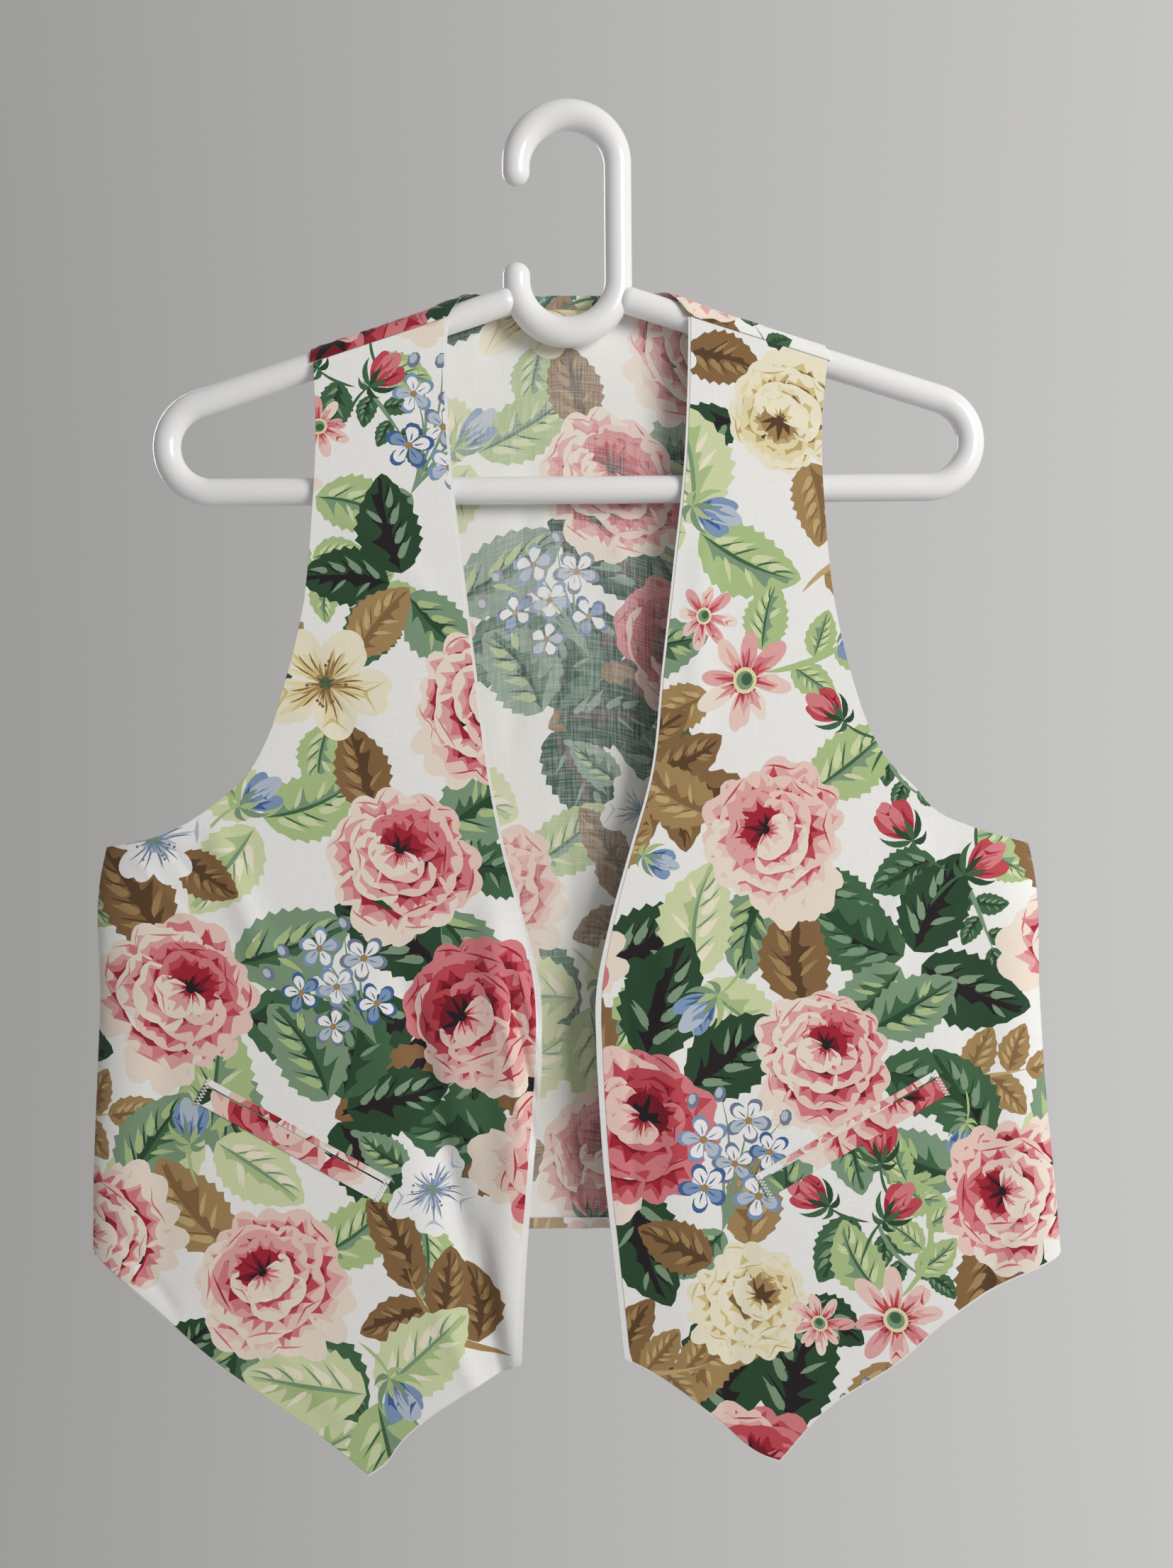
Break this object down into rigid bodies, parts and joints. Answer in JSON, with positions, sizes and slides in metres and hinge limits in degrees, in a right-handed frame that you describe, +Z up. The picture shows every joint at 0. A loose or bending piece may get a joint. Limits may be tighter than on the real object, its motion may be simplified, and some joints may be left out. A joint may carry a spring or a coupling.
{
  "type": "waistcoat and hanger",
  "caption": "Sleeveless cotton waistcoat with a flower print, a V neck, pointed fronts and slanted welt pockets, hanging open on a white tubular plastic hanger.",
  "frame": {"origin": "the inner top of the hanger's hook, where it bears on a rail, in the middle of its tube", "axes": "+Z up, the fronts face -Y, and the wearer's right side is at -X"},
  "size_m": [0.501, 0.0325, 0.7088],
  "materials": {
    "printed_cotton": "plain-woven cotton, screen printed with roses, blossoms and leaves on white",
    "lining_cotton": "plain white cotton",
    "hanger_plastic": "smooth moulded plastic"
  },
  "bodies": {
    "root": {"front_right": "printed_cotton", "front_left": "printed_cotton", "lining_right": "lining_cotton", "lining_left": "lining_cotton", "back": "printed_cotton", "back_neck_facing": "printed_cotton", "back_hem": "printed_cotton", "pocket_lip_right": "printed_cotton", "pocket_welt_right": "printed_cotton", "pocket_lip_left": "printed_cotton", "pocket_welt_left": "printed_cotton", "hanger_hook": "hanger_plastic", "hanger_frame": "hanger_plastic"}
  },
  "joints": []
}
